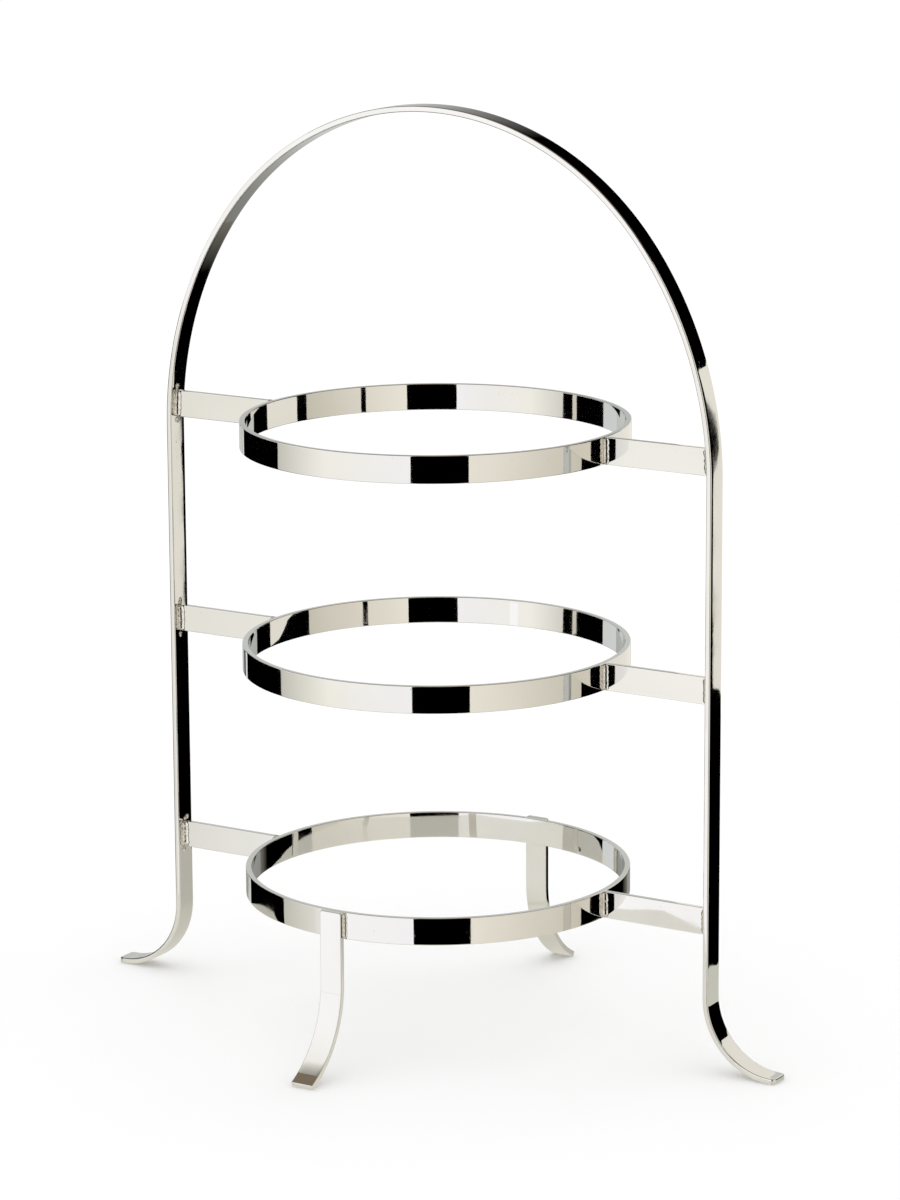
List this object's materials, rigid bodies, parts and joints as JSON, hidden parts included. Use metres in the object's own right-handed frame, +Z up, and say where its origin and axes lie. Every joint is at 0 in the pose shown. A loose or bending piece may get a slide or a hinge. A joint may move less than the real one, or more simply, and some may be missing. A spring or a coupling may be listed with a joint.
{
  "type": "tiered cake stand",
  "caption": "Tall arched stand of bright plated flat bar: level hoops on side arms hold plates one above another over flared feet and bent legs.",
  "frame": {"origin": "on the ground under the common axis of the rings", "axes": "+Z up; X runs across the arch from the left upright to the right one; +Y points from the front leg to the back leg"},
  "size_m": [0.403, 0.2624, 0.4799],
  "materials": {
    "nickel_plate": "polished",
    "braze": "polished, slightly rippled"
  },
  "bodies": {
    "root": {"arch_frame": "nickel_plate", "ring_top": "nickel_plate", "ring_middle": "nickel_plate", "ring_bottom": "nickel_plate", "arm_top_left": "nickel_plate", "arm_top_right": "nickel_plate", "arm_middle_left": "nickel_plate", "arm_middle_right": "nickel_plate", "arm_bottom_left": "nickel_plate", "arm_bottom_right": "nickel_plate", "leg_front": "nickel_plate", "leg_back": "nickel_plate", "braze_top_left_frame": "braze", "braze_top_left_ring": "braze", "braze_top_right_frame": "braze", "braze_top_right_ring": "braze", "braze_middle_left_frame": "braze", "braze_middle_left_ring": "braze", "braze_middle_right_frame": "braze", "braze_middle_right_ring": "braze", "braze_bottom_left_frame": "braze", "braze_bottom_left_ring": "braze", "braze_bottom_right_frame": "braze", "braze_bottom_right_ring": "braze", "braze_leg_front": "braze", "braze_leg_back": "braze"}
  },
  "joints": []
}
